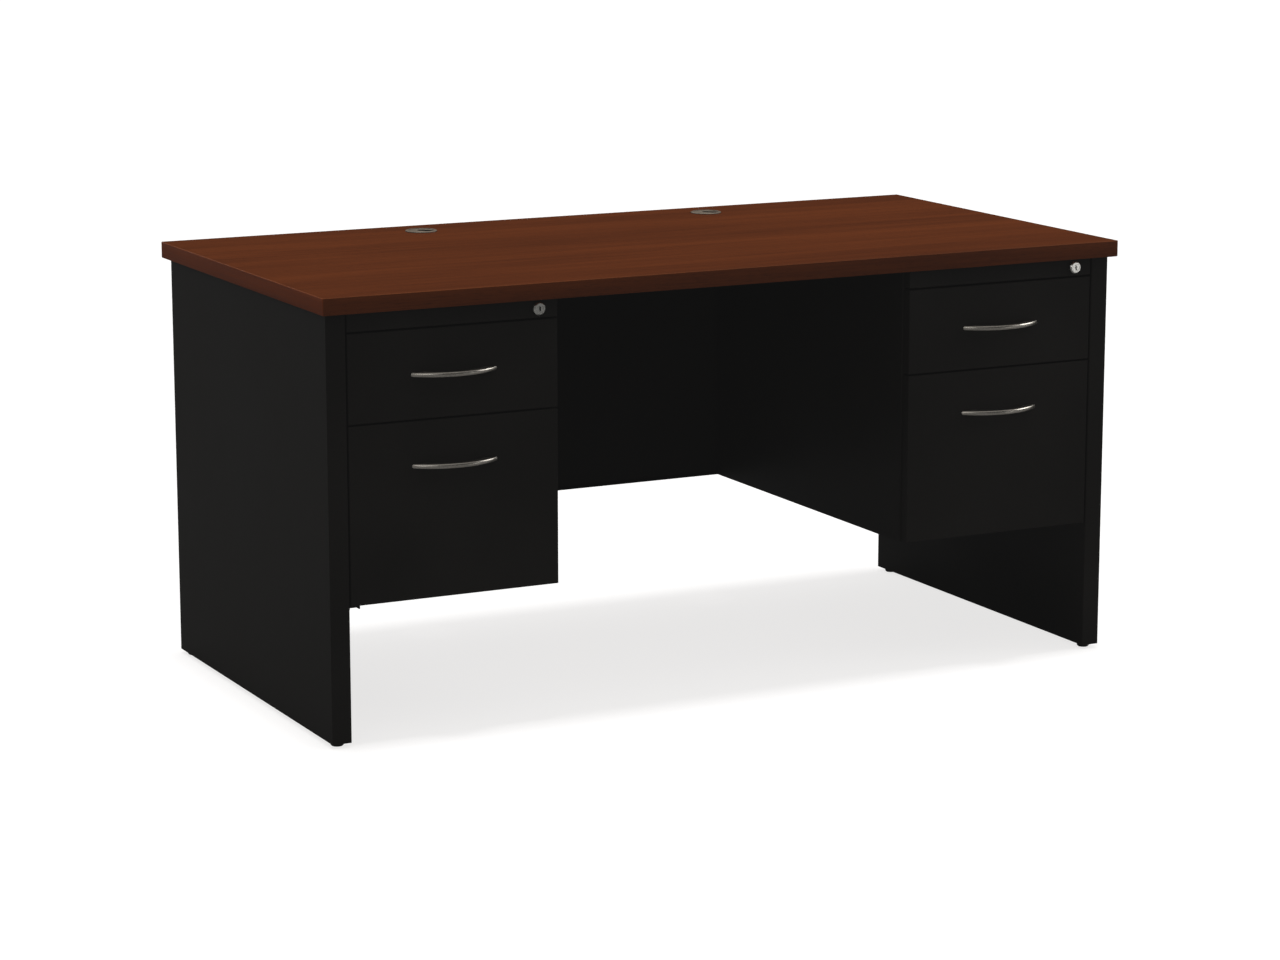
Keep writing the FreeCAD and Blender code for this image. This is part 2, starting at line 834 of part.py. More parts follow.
def make_lock(name, side):
    centre = (f"{side} * case_centre + lock_across", "face", "lock_height")
    housing = new_body(f"lock_housing_{name}")
    revolve(
        housing,
        "XY",
        [
            ("lock_bore", "-lock_stands_out"),
            ("lock_bezel - lock_lip", "-lock_stands_out"),
            ("lock_bezel", "lock_lip - lock_stands_out"),
            ("lock_bezel", "0"),
            ("lock_barrel", "0"),
            ("lock_barrel", "lock_length"),
            ("lock_bore", "lock_length"),
        ],
    )
    move(housing, centre)

    plug = new_body(f"lock_plug_{name}")
    revolve(
        plug,
        "XY",
        [
            ("0", "plug_face"),
            ("lock_bore - lock_fit", "plug_face"),
            ("lock_bore - lock_fit", "cam_front"),
            ("0", "cam_front"),
        ],
    )
    low = ("-keyway_width / 2", "-keyway_height / 2")
    high = ("keyway_width / 2", "keyway_height / 2")
    keyway = rectangle(low, high)
    pocket(plug, "XZ", "plug_face", "plug_face + keyway_depth", [keyway])
    move(plug, centre)

    cam = new_body(f"lock_cam_{name}")
    pad(cam, "XZ", "cam_front", "cam_rear", circles=[(("0", "0"), "cam_radius")])
    pin = (("pin_offset", "pin_offset"), "cam_pin_radius")
    pad(cam, "XZ", "cam_rear", "cam_rear + cam_pin_length", circles=[pin])
    move(cam, centre)


def make_lock_bar(name, side):
    """A flat bar with a tab and two fingers. The cam's pin lowers it, and its fingers stop the lugs."""
    low, high = lug_top("file") + " + finger_gap", "tab_middle + tab_height / 2"
    bar = beside(side, ("bar_in", "bar_front", low), ("bar_out", "bar_rear", high))
    play = "(guide_radius + bar_gap)"
    for up in guide_heights():
        slot = beside(
            side,
            ("bar_in", f"bar_middle - {play}", f"{up} - {play}"),
            ("bar_out", f"bar_middle + {play}", f"{up} + bar_travel + {play}"),
        )
        bar = cut(bar, slot)

    tab = beside(
        side,
        ("lock_across", "bar_front", "tab_middle - tab_height / 2"),
        ("bar_in", "bar_front + bar_thick", high),
    )
    play = "(cam_pin_radius + bar_gap)"
    slot = beside(
        side,
        (f"lock_across + pin_offset - {play}", "bar_front", f"tab_middle - {play}"),
        (f"lock_across + cam_throw + {play}", "bar_front + bar_thick", f"tab_middle + {play}"),
    )
    pieces = [bar, cut(tab, slot)]
    for drawer in ("box", "file"):
        bottom = f"({lug_top(drawer)} + finger_gap)"
        finger = beside(
            side,
            ("wall - finger_reach", "bar_front", bottom),
            ("bar_in", "bar_front + finger_width", f"{bottom} + finger_height"),
        )
        pieces.append(finger)
    group(f"lock_bar_{name}", pieces)


# ---------------------------------------------------------------- drawers

def slide_section(part):
    """One slide member's channel, as how far it lies from the standard, inner and outer edges."""
    half = "slide_height / 2"
    step = "slide_sheet + slide_gap"
    if part == "cabinet":
        return "0", "slide_thick - 2 * slide_sheet", half, 1
    if part == "mid":
        return step, "slide_thick - slide_sheet - slide_gap", f"{half} - ({step})", 1
    return f"2 * ({step})", "slide_thick", f"{half} - 2 * ({step})", -1


def channel(part, hand, height):
    """A channel's outline in X and Z: open to the drawer, or to the case on the last member."""
    near, far, half, opens = slide_section(part)
    web, tip = (near, far) if opens == 1 else (far, near)
    inner = f"({web}) + slide_sheet" if opens == 1 else f"({web}) - slide_sheet"
    section = [
        (web, f"-({half})"),
        (tip, f"-({half})"),
        (tip, f"slide_sheet - ({half})"),
        (inner, f"slide_sheet - ({half})"),
        (inner, f"({half}) - slide_sheet"),
        (tip, f"({half}) - slide_sheet"),
        (tip, half),
        (web, half),
    ]
    return [
        (f"{hand} * (wall - standard_depth - ({reach}))", f"{height} + {up}")
        for reach, up in section
    ]


def slide_solid(side, part, hand, height):
    """One slide member along the drawer's depth."""
    helper = document.addObject("PartDesign::Body", "SlideMember")
    pad(helper, "XZ", "slide_front", "slide_rear", [channel(part, hand, height)])
    move(helper, (f"{side} * case_centre", "0", "0"))
    return helper


def slide_height_of(drawer):
    return f"({drawer}_bottom + {drawer}_slide_up)"


def make_slides(name, side):
    """Cabinet members of a pedestal's four slides, then each drawer's two moving pairs."""
    fixed = [
        slide_solid(side, "cabinet", hand, slide_height_of(drawer))
        for drawer in ("box", "file")
        for hand in SIDES.values()
    ]
    group(f"slide_cabinet_members_{name}", fixed)
    for drawer in ("box", "file"):
        for part in ("mid", "drawer"):
            pair = [
                slide_solid(side, part, hand, slide_height_of(drawer)) for hand in SIDES.values()
            ]
            group(f"{name}_{drawer}_slide_{part}_members", pair)


def make_drawer_front(name, side, drawer):
    """A steel pan with its edges returned behind, so that it reads as a solid slab."""
    body = new_body(f"{name}_{drawer}_drawer_front")
    low = ("-half_front", f"{drawer}_bottom")
    high = ("half_front", f"{drawer}_top")
    pad(body, "XZ", "face", "front_back", [rectangle(low, high)])
    round_edges(body, is_in_face(value("face")), "bend_radius")
    hollow = grown(low, high, "sheet")
    pocket(body, "XZ", "face + sheet", "front_back", [hollow])
    tray_low, tray_high = drawer_heights(drawer)
    window = grown(("-half_drawer", tray_low), ("half_drawer", tray_high), "front_lap")
    pad(body, "XZ", "front_back - sheet", "front_back", [hollow, window])
    holes = handle_holes(drawer)
    pocket(body, "XZ", "face", "face + sheet", circles=holes)
    move(body, (f"{side} * case_centre", "0", "0"))


def handle_holes(drawer):
    """Clearance holes for a handle's two screws, in X and Z."""
    height = f"{drawer}_top - handle_drop"
    return [((across, height), "screw_radius + 2 * snug") for across in HANDLE_HOLES]


def drawer_heights(drawer):
    """The bottom and top of a drawer's tray."""
    return f"{drawer}_bottom + drawer_lift", f"{drawer}_top - drawer_drop"


def make_drawer_body(name, side, drawer):
    """An open tray of welded sheets, with a lug on its right side that the lock bar catches."""
    bottom, top = drawer_heights(drawer)
    floor = f"({bottom} + sheet)"
    front, rear = "front_back", "(front_back + drawer_depth)"
    lug_bottom = lug_top(drawer) + " - finger_height"

    skin = beside(side, ("-half_drawer", front, floor), ("half_drawer", f"{front} + sheet", top))
    for (across, height), radius in handle_holes(drawer):
        start = (f"{side} * case_centre + ({across})", f"{front} + sheet", height)
        skin = cut(skin, rod(start, "-Y", radius, "sheet"))
    sheets = [
        skin,
        beside(side, ("-half_drawer", front, bottom), ("half_drawer", rear, floor)),
        beside(side, ("-half_drawer", f"{rear} - sheet", floor), ("half_drawer", rear, top)),
        beside(
            side,
            ("half_drawer", "lug_front", lug_bottom),
            ("wall - lug_clear", "lug_front + finger_width", lug_top(drawer)),
        ),
    ]
    for inner, outer in (("-half_drawer", "sheet - half_drawer"), ("half_drawer - sheet", "half_drawer")):
        wall = beside(side, (inner, f"{front} + sheet", floor), (outer, f"{rear} - sheet", top))
        sheets.append(wall)
    group(f"{name}_{drawer}_drawer_body", sheets)


def make_handle(name, side, drawer):
    """A bow between two arcs, as in plan, with rounded edges and a blind hole in each foot."""
    height = f"{drawer}_top - handle_drop - handle_height / 2"
    shift = f"{side} * case_centre"
    outer_half, inner_half = "handle_length / 2", "(handle_length / 2 - handle_foot)"
    inner_reach = "(handle_reach - handle_bar)"

    def arc_disc(half, reach):
        radius = f"(({half}) ^ 2 + {reach} ^ 2) / (2 * {reach})"
        centre = (shift, f"face - {reach} + {radius}", height)
        return rod(centre, "+Z", radius, "handle_height")

    ahead = block(
        (f"{shift} - handle_length", "face - 2 * handle_reach", height),
        (f"{shift} + handle_length", "face", f"{height} + handle_height"),
    )
    bow = document.addObject("Part::Common", "Bow")
    bow.Base = arc_disc(outer_half, "handle_reach")
    bow.Tool = ahead
    bar = cut(bow, arc_disc(inner_half, inner_reach))
    document.recompute()

    rounded = document.addObject("Part::Fillet", "Rounded")
    rounded.Base = bar
    radius = value("handle_round")
    rounded.Edges = [
        (index, radius, radius)
        for index, edge in enumerate(bar.Shape.Edges, start=1)
        if isinstance(edge.Curve, Part.Circle) and edge.BoundBox.ZLength < 0.01
    ]
    for across in HANDLE_HOLES:
        start = (f"{shift} + ({across})", "face", f"{height} + handle_height / 2")
        bore = rod(start, "-Y", "screw_radius + snug / 2", "handle_screw_grip")
        rounded = cut(rounded, bore)
    keep(rounded, f"{name}_{drawer}_handle")


def make_handle_screws(name, side, drawer):
    """Screws from inside the drawer, through both skins of the front, into the handle's feet."""
    screws = []
    for across in HANDLE_HOLES:
        seat = (
            f"{side} * case_centre + ({across})",
            "front_back + sheet",
            f"{drawer}_top - handle_drop",
        )
        screws.append(screw(seat, "-Y", "sheet + front_thick + handle_screw_grip - screw_end_gap"))
    group(f"{name}_{drawer}_handle_screws", screws)


# ---------------------------------------------------------------- the whole desk

def make_desk():
    make_work_surface()
    make_edge_band()
    make_top_screws()
    for name, place in grommet_places().items():
        make_grommet(name, place)
    make_modesty_panel()
    make_ledges()
    make_frame_screws()
    make_slide_standards()
    for name, place in glide_places().items():
        make_glide(name, place)
    make_glide_nuts()
    for name, side in SIDES.items():
        make_end_panel(name, side)
        make_case(name, side)
        make_case_floor(name, side)
        make_header_rail(name, side)
        make_lock(name, side)
        make_lock_bar(name, side)
        make_slides(name, side)
        for drawer in ("box", "file"):
            make_drawer_front(name, side, drawer)
            make_drawer_body(name, side, drawer)
            make_handle(name, side, drawer)
            make_handle_screws(name, side, drawer)


def check_document():
    """Stop if any object failed, or any sub-part is empty or not valid."""
    for thing in document.Objects:
        if {"Invalid", "Error"} & set(thing.State):
            raise RuntimeError(f"{thing.Label} did not recompute: {thing.State}")
    for node in nodes:
        if node.Shape.isNull() or not node.Shape.isValid() or not node.Shape.Solids:
            raise RuntimeError(f"{node.Label} has no valid solid")


def write_parts():
    os.makedirs("parts", exist_ok=True)
    for node in nodes:
        node.Shape.exportStep(f"parts/{node.Label}.step")


fill_sheet()
make_desk()
document.recompute()
check_document()
write_parts()
print(f"{len(nodes)} sub-parts, {sum(len(node.Shape.Solids) for node in nodes)} solids")
print(f"lock bar travel {value('bar_travel'):.4f} mm over a quarter turn of the plug")
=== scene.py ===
import json
import math

import bmesh
import bpy
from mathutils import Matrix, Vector


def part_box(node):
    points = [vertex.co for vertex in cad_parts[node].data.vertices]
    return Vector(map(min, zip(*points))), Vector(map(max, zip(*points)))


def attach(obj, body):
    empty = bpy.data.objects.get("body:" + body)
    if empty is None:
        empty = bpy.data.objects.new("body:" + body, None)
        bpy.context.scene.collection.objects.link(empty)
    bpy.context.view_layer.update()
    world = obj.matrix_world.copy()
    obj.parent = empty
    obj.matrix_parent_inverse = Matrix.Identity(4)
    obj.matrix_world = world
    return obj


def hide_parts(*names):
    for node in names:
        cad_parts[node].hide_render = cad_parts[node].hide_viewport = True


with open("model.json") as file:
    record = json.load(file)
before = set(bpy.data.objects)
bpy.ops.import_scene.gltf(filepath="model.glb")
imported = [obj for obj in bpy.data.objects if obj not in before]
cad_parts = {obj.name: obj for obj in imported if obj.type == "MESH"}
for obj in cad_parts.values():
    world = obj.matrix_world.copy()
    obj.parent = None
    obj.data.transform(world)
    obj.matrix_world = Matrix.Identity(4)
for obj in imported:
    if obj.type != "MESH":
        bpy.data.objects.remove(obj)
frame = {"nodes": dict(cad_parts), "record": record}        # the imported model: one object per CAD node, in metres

NODES = frame["nodes"]
SIDES = ("left", "right")
DRAWERS = [f"{side}_{kind}" for side in SIDES for kind in ("box", "file")]
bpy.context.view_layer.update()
MM = 0.001


# ---------------------------------------------------------------- nodes of a material

def of_type(sockets, kind):
    """The sockets of one type. A Mix node has several of the same name, one for each type."""
    return [s for s in sockets if s.type == kind]


class Material:
    """A Principled material whose nodes are added by short calls. Lengths in it are metres."""

    def __init__(self, name, **sockets):
        self.data = bpy.data.materials.new(name)
        self.data.use_nodes = True
        self.tree = self.data.node_tree
        self.shader = self.tree.nodes["Principled BSDF"]
        for socket, value in sockets.items():
            self.shader.inputs[socket.replace("_", " ")].default_value = value
        self.place = self.add("ShaderNodeTexCoord").outputs["Object"]

    def add(self, kind, **settings):
        """A new node, with some of its properties set."""
        node = self.tree.nodes.new(kind)
        for key, value in settings.items():
            setattr(node, key, value)
        return node

    def put(self, socket, value):
        """Links an output to a socket, or sets the socket to a plain value."""
        if isinstance(value, bpy.types.NodeSocket):
            self.tree.links.new(value, socket)
        else:
            socket.default_value = value

    def feed(self, **sockets):
        """Puts values or outputs into the shader's sockets. A socket's name has _ for a space."""
        for name, value in sockets.items():
            self.put(self.shader.inputs[name.replace("_", " ")], value)

    def stretch(self, scale, place=None, turn=(0, 0, 0)):
        """Object coordinates times scale, so that a texture on them is long where the scale is small."""
        node = self.add("ShaderNodeMapping")
        self.put(node.inputs["Vector"], place or self.place)
        node.inputs["Scale"].default_value = scale
        node.inputs["Rotation"].default_value = turn
        return node.outputs["Vector"]

    def noise(self, scale, detail=3.0, rough=0.5, warp=0.0, place=None):
        """Fractal noise from 0 to 1. scale is its cells per metre along X, Y and Z."""
        node = self.add("ShaderNodeTexNoise")
        self.put(node.inputs["Vector"], self.stretch(scale, place))
        node.inputs["Scale"].default_value = 1.0
        node.inputs["Detail"].default_value = detail
        node.inputs["Roughness"].default_value = rough
        node.inputs["Distortion"].default_value = warp
        return node.outputs["Fac"]

    def ramp(self, factor, low, high, start=0.0, end=1.0):
        """factor mapped from low..high to start..end, and held at the ends."""
        node = self.add("ShaderNodeMapRange")
        node.interpolation_type = "SMOOTHSTEP"
        self.put(node.inputs["Value"], factor)
        for key, value in (("From Min", low), ("From Max", high), ("To Min", start), ("To Max", end)):
            node.inputs[key].default_value = value
        return node.outputs["Result"]

    def math(self, operation, first, second=0.0):
        """One operation on two numbers, each an output or a value."""
        node = self.add("ShaderNodeMath", operation=operation)
        self.put(node.inputs[0], first)
        self.put(node.inputs[1], second)
        return node.outputs[0]

    def mix(self, factor, first, second, blend="MIX"):
        """A colour between two colours, each a socket or three numbers."""
        node = self.add("ShaderNodeMix", data_type="RGBA", blend_type=blend)
        self.put(node.inputs["Factor"], factor)
        for socket, value in zip(of_type(node.inputs, "RGBA"), (first, second)):
            colour = value if isinstance(value, bpy.types.NodeSocket) else (*value, 1.0)
            self.put(socket, colour)
        return of_type(node.outputs, "RGBA")[0]

    def normal(self):
        """The object-space normal, split into X, Y and Z outputs."""
        node = self.add("ShaderNodeSeparateXYZ")
        self.put(node.inputs[0], self.tree.nodes["Texture Coordinate"].outputs["Normal"])
        return node.outputs

    def bump(self, height, depth, under=None):
        """A surface raised by height times depth, on top of another bump."""
        node = self.add("ShaderNodeBump")
        node.inputs["Strength"].default_value = 1.0
        node.inputs["Distance"].default_value = depth
        self.put(node.inputs["Height"], height)
        if under is not None:
            self.put(node.inputs["Normal"], under)
        return node.outputs["Normal"]


# ---------------------------------------------------------------- materials

WALNUT_LIGHT = (0.117, 0.0280, 0.0062)
WALNUT_DARK = (0.060, 0.0136, 0.0030)
WALNUT_PORE = (0.020, 0.0055, 0.0018)
VINYL_INK = (0.012, 0.006, 0.004)


def wood_grain(m, place):
    """Colour, roughness and bump of straight-grained walnut that runs along X of place."""
    drift = m.noise((0.9, 7.0, 7.0), detail=2.0, warp=0.6, place=place)
    figure = m.noise((1.6, 38.0, 38.0), detail=4.0, rough=0.55, warp=1.2, place=place)
    streaks = m.noise((5.0, 330.0, 330.0), detail=3.0, rough=0.6, place=place)
    lines = m.noise((1.3, 120.0, 120.0), detail=2.0, warp=0.4, place=place)
    pores = m.noise((55.0, 1500.0, 1500.0), detail=1.0, place=place)
    tone = m.math("ADD", m.math("MULTIPLY", m.ramp(drift, 0.3, 0.7), 0.35),
                  m.math("MULTIPLY", m.ramp(figure, 0.25, 0.75), 0.40))
    tone = m.math("ADD", tone, m.math("MULTIPLY", m.ramp(streaks, 0.3, 0.7), 0.25))
    colour = m.mix(tone, WALNUT_DARK, WALNUT_LIGHT)
    colour = m.mix(m.math("MULTIPLY", m.ramp(lines, 0.56, 0.70), 0.45), colour, WALNUT_DARK)
    pore = m.ramp(pores, 0.60, 0.72)
    colour = m.mix(m.math("MULTIPLY", pore, 0.55), colour, WALNUT_PORE)
    roughness = m.ramp(streaks, 0.2, 0.8, 0.44, 0.56)
    normal = m.bump(m.math("MULTIPLY", pore, -1.0), 0.04 * MM)
    return colour, roughness, normal


def walnut_laminate():
    m = Material("walnut_laminate", Specular_IOR_Level=0.03)
    colour, roughness, normal = wood_grain(m, m.place)
    m.feed(Base_Color=colour, Roughness=roughness, Normal=normal)
    return m.data


END_STRIP_PAINTED_LIGHT = (1.52, 1.30, 1.10)      # painted light: the end strips are lightened as if the side light fell on them more
ARRIS_HIGHLIGHT_TINT = (1.7, 2.0, 2.6)             # painted highlight: the rounded upper arris is lightened where light would catch it


def edge_vinyl():
    """The same walnut, printed on the strips: its grain runs along each strip. The end strips are lightened as
    painted light, and the rounded upper arris carries a painted highlight.
    """
    m = Material("edge_vinyl", Specular_IOR_Level=0.05)
    facing = m.normal()
    on_end = m.ramp(m.math("ABSOLUTE", facing["X"]), 0.6, 0.8)
    arris_highlight = m.math("SUBTRACT", m.ramp(facing["Z"], 0.3, 0.6), m.ramp(facing["Z"], 0.94, 0.995))
    place = m.add("ShaderNodeMix", data_type="VECTOR")
    m.put(place.inputs["Factor"], on_end)
    straight, turned = of_type(place.inputs, "VECTOR")[-2:]
    m.put(straight, m.place)
    m.put(turned, m.stretch((1, 1, 1), turn=(0, 0, math.radians(90))))
    colour, roughness, normal = wood_grain(m, of_type(place.outputs, "VECTOR")[0])
    colour = m.mix(0.08, colour, VINYL_INK)
    # painted light: the strips that face the ends are made lighter than the front strips
    colour = m.mix(on_end, colour, m.mix(1.0, colour, END_STRIP_PAINTED_LIGHT, "MULTIPLY"))
    # painted highlight along the rounded upper arris
    colour = m.mix(arris_highlight, colour, m.mix(1.0, colour, ARRIS_HIGHLIGHT_TINT, "MULTIPLY"))
    m.feed(Base_Color=colour, Roughness=roughness, Normal=normal)
    return m.data


def enamel(name, colour, roughness, peel):
    """Baked enamel: faint orange peel, a slow drift in gloss and a little unevenness in tone."""
    m = Material(name, Specular_IOR_Level=0.05)
    drift = m.noise((3.0, 3.0, 3.0), detail=3.0)
    grain = m.noise((420.0, 420.0, 420.0), detail=2.0)
    fine = m.noise((1900.0, 1900.0, 1900.0), detail=1.0)
    tone = m.math("ADD", m.math("MULTIPLY", drift, 0.6), m.math("MULTIPLY", grain, 0.4))
    dark = tuple(0.78 * c for c in colour)
    light = tuple(1.25 * c for c in colour)
    m.feed(
        Base_Color=m.mix(m.ramp(tone, 0.35, 0.65), dark, light),
        Roughness=m.ramp(drift, 0.3, 0.7, roughness - 0.04, roughness + 0.05),
        Normal=m.bump(fine, 0.25 * peel, under=m.bump(grain, peel)),
    )
    return m.data


def zinc_steel():
    """Zinc-plated steel: rolled lines along Y, and clouds in the passivation."""
    m = Material("zinc_steel", Metallic=1.0)
    clouds = m.noise((28.0, 28.0, 28.0), detail=4.0)
    lines = m.noise((900.0, 14.0, 900.0), detail=2.0)
    m.feed(
        Base_Color=m.mix(m.ramp(clouds, 0.3, 0.7), (0.50, 0.51, 0.53), (0.66, 0.66, 0.64)),
        Roughness=m.ramp(lines, 0.25, 0.75, 0.28, 0.42),
        Normal=m.bump(lines, 0.02 * MM),
    )
    return m.data


def satin_nickel():
    """Nickel brushed along X, the length of a handle, with a light coat that has dulled unevenly."""
    m = Material("satin_nickel", Metallic=1.0)
    brushed = m.noise((26.0, 2600.0, 2600.0), detail=2.0)
    haze = m.noise((60.0, 60.0, 60.0), detail=3.0)
    m.feed(
        Base_Color=m.mix(m.ramp(haze, 0.3, 0.7), (0.52, 0.49, 0.43), (0.62, 0.58, 0.52)),
        Roughness=m.ramp(brushed, 0.2, 0.8, 0.24, 0.36),
        Normal=m.bump(brushed, 0.012 * MM),
    )
    return m.data


def lock_nickel():
    """Bright nickel, faced on a lathe: fine rings round the middle of the piece."""
    m = Material("lock_nickel", Metallic=1.0)
    speckle = m.noise((300.0, 300.0, 300.0), detail=3.0)
    rings = m.noise((2200.0, 60.0, 2200.0), detail=2.0)
    m.feed(
        Base_Color=m.mix(m.ramp(speckle, 0.3, 0.7), (0.68, 0.67, 0.63), (0.82, 0.81, 0.77)),
        Roughness=m.ramp(rings, 0.2, 0.8, 0.20, 0.30),
        Normal=m.bump(rings, 0.01 * MM),
    )
    return m.data


def grommet_plastic():
    """Black moulded plastic with a fine spark-eroded texture. What faces up is painted lighter as a painted sheen
    of grazing light; the sides stay black, which paints shade into the slot and under the flange.
    """
    m = Material("grommet_plastic")
    # the lighter tint is a painted sheen for the up-facing faces; the plastic itself is black
    sheen_tint, plastic, roughness = (0.160, 0.130, 0.100), (0.010, 0.009, 0.008), 0.34
    texture = m.noise((1500.0, 1500.0, 1500.0), detail=2.0)
    flow = m.noise((40.0, 40.0, 40.0), detail=3.0)
    painted_sheen = m.mix(m.ramp(flow, 0.3, 0.7), tuple(0.85 * c for c in sheen_tint), tuple(1.15 * c for c in sheen_tint))
    m.feed(
        # painted sheen on what faces up, black plastic on the sides as painted shade
        Base_Color=m.mix(m.ramp(m.normal()["Z"], 0.45, 0.65), plastic, painted_sheen),
        Roughness=m.ramp(texture, 0.3, 0.7, roughness - 0.05, roughness + 0.06),
        Normal=m.bump(texture, 0.03 * MM),
    )
    return m.data


GLIDE_FOOT_TOP = 7.4 * MM


def glide_nylon():
    """Nylon foot on a zinc-plated stud: metal is what stands above the foot."""
    m = Material("glide_nylon")
    texture = m.noise((1200.0, 1200.0, 1200.0), detail=2.0)
    height = m.add("ShaderNodeSeparateXYZ")
    m.put(height.inputs[0], m.place)
    stud = m.math("GREATER_THAN", height.outputs["Z"], GLIDE_FOOT_TOP)
    nylon = m.mix(texture, (0.006, 0.006, 0.006), (0.012, 0.012, 0.012))
    m.feed(
        Base_Color=m.mix(stud, nylon, (0.55, 0.55, 0.56)),
        Metallic=stud,
        Roughness=m.ramp(texture, 0.2, 0.8, 0.38, 0.5),
        Normal=m.bump(texture, 0.03 * MM),
    )
    return m.data


def make_materials():
    """One material for each slot of the record."""
    return {
        "walnut_laminate": walnut_laminate(),
        "edge_vinyl": edge_vinyl(),
        "black_enamel": enamel("black_enamel", (0.0105, 0.0096, 0.0086), 0.42, 0.05 * MM),
        "drawer_grey": enamel("drawer_grey", (0.0124, 0.0118, 0.0108), 0.52, 0.08 * MM),
        "zinc_steel": zinc_steel(),
        "satin_nickel": satin_nickel(),
        "lock_nickel": lock_nickel(),
        "grommet_plastic": grommet_plastic(),
        "glide_nylon": glide_nylon(),
    }


def slot_of(node):
    """The material slot that the record gives a node."""
    for part in frame["record"]["subparts"]:
        if part["node"] == node:
            return part["material_slot"]
    raise ValueError(f"no slot for {node}")


def dress(obj, material):
    """Gives an object one material."""
    obj.data.materials.clear()
    obj.data.materials.append(material)


# ---------------------------------------------------------------- pieces

def new_piece(name, verts, faces):
    """An object of smooth-shaded faces in the scene."""
    mesh = bpy.data.meshes.new(name)
    mesh.from_pydata([tuple(v) for v in verts], [], faces)
    mesh.validate()
    for polygon in mesh.polygons:
        polygon.use_smooth = True
    obj = bpy.data.objects.new(name, mesh)
    bpy.context.scene.collection.objects.link(obj)
    return obj


HANDLE_FOOT = 26.5 * MM
HANDLE_BAR = 8.0 * MM
HANDLE_CROWN = 2.2 * MM      # depth of the rounded outer face
HANDLE_INNER_ROUND = 1.6 * MM
HANDLE_TAPER = 0.05          # how much lower the bow is at its tips than in the middle


def arc_points(half_chord, rise, count):
    """Points and outward directions on the arc from (-half_chord, 0) over (0, rise) to (half_chord, 0)."""
    radius = (half_chord ** 2 + rise ** 2) / (2 * rise)
    half_angle = math.asin(half_chord / radius)
    for i in range(count):
        angle = half_angle * (2 * i / (count - 1) - 1)
        out = Vector((math.sin(angle), math.cos(angle)))
        yield radius * out - Vector((0, radius - rise)), out


def bow_section(width, slant, height):
    """The upper half of a section: depth from the outer arc and height above the middle, outside first."""
    crown = min(HANDLE_CROWN * slant, 0.6 * width)
    inner = HANDLE_INNER_ROUND
    steps = 8
    for k in range(steps + 1):
        turn = math.pi / 2 * k / steps
        yield crown * (1 - math.cos(turn)), height / 2 * math.sin(turn)
    for k in range(steps // 2 + 1):
        turn = math.pi / 2 * k / (steps // 2)
        yield width - inner * (1 - math.sin(turn)), height / 2 - inner * (1 - math.cos(turn))


def make_handle(drawer, material):
    """A bow between an outer and an inner arc, with a rounded outer face, a little lower at its tips."""
    low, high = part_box(f"{drawer}_handle")
    centre = (low + high) / 2
    face, reach = high.y, high.y - low.y
    half = (high.x - low.x) / 2
    stations = 65
    outer = arc_points(half, reach, stations)
    inner = arc_points(half - HANDLE_FOOT, reach - HANDLE_BAR, stations)
    rings = []
    for i, ((outside, out), (inside, _)) in enumerate(zip(outer, inner)):
        along = 2 * i / (stations - 1) - 1
        height = (high.z - low.z) * (1 - HANDLE_TAPER * along ** 4)
        across = inside - outside
        width = across.length
        slant = -width / across.dot(out)
        upper = [(outside + across * (depth / width), z) for depth, z in bow_section(width, slant, height)]
        lower = [(point, -z) for point, z in reversed(upper) if z > 0]
        rings.append([Vector((centre.x + p.x, face - p.y, centre.z + z)) for p, z in upper + lower])
    around = len(rings[0])
    faces = []
    for i in range(stations - 1):
        for k in range(around):
            a, b = i * around + k, i * around + (k + 1) % around
            faces.append((a, b, b + around, a + around))
    faces.append(tuple(range(around - 1, -1, -1)))
    faces.append(tuple((stations - 1) * around + k for k in range(around)))
    handle = new_piece(f"{drawer}_bow", [v for ring in rings for v in ring], faces)
    sharpen(handle, 50)
    dress(handle, material)
    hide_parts(f"{drawer}_handle")
    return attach(handle, f"{drawer}_drawer")


BAND_ROUND = 1.2 * MM
BAND_CORNER = 2.5 * MM


def rounded_loop(half_x, half_y, radius, steps=6):
    """Points round a rectangle with rounded corners, anticlockwise from the right."""
    points = []
    for quarter, (sx, sy) in enumerate(((1, 1), (-1, 1), (-1, -1), (1, -1))):
        cx, cy = sx * (half_x - radius), sy * (half_y - radius)
        for k in range(steps + 1):
            angle = math.pi / 2 * (quarter + k / steps)
            points.append((cx + radius * math.cos(angle), cy + radius * math.sin(angle)))
    return points


def make_edge_band(material):
    """The vinyl strips as one ring, with their arrises rounded over."""
    low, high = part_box("edge_band")
    inner_low, inner_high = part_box("work_surface")
    half = (high - low) / 2
    middle = (high + low) / 2
    width = inner_low.x - low.x
    profile = [(width, high.z)]
    steps = 4
    for k in range(steps + 1):
        angle = math.pi / 2 * k / steps
        profile.append((BAND_ROUND * (1 - math.sin(angle)), high.z - BAND_ROUND * (1 - math.cos(angle))))
    for k in range(steps + 1):
        angle = math.pi / 2 * (1 - k / steps)
        profile.append((BAND_ROUND * (1 - math.sin(angle)), low.z + BAND_ROUND * (1 - math.cos(angle))))
    profile.append((width, low.z))
    verts, faces = [], []
    loops = []
    for inset, z in profile:
        corner = max(BAND_CORNER - inset, 0.05 * MM) if inset < width else 0.05 * MM
        ring = rounded_loop(half.x - inset, half.y - inset, corner)
        loops.append(len(verts))
        verts += [Vector((middle.x + x, middle.y + y, z)) for x, y in ring]
        count = len(ring)
    for i in range(len(loops)):
        a, b = loops[i], loops[(i + 1) % len(loops)]
        for k in range(count):
            n = (k + 1) % count
            faces.append((a + n, a + k, b + k, b + n))
    band = new_piece("edge_strips", verts, faces)
    sharpen(band, 50)
    dress(band, material)
    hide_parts("edge_band")
    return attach(band, "root")


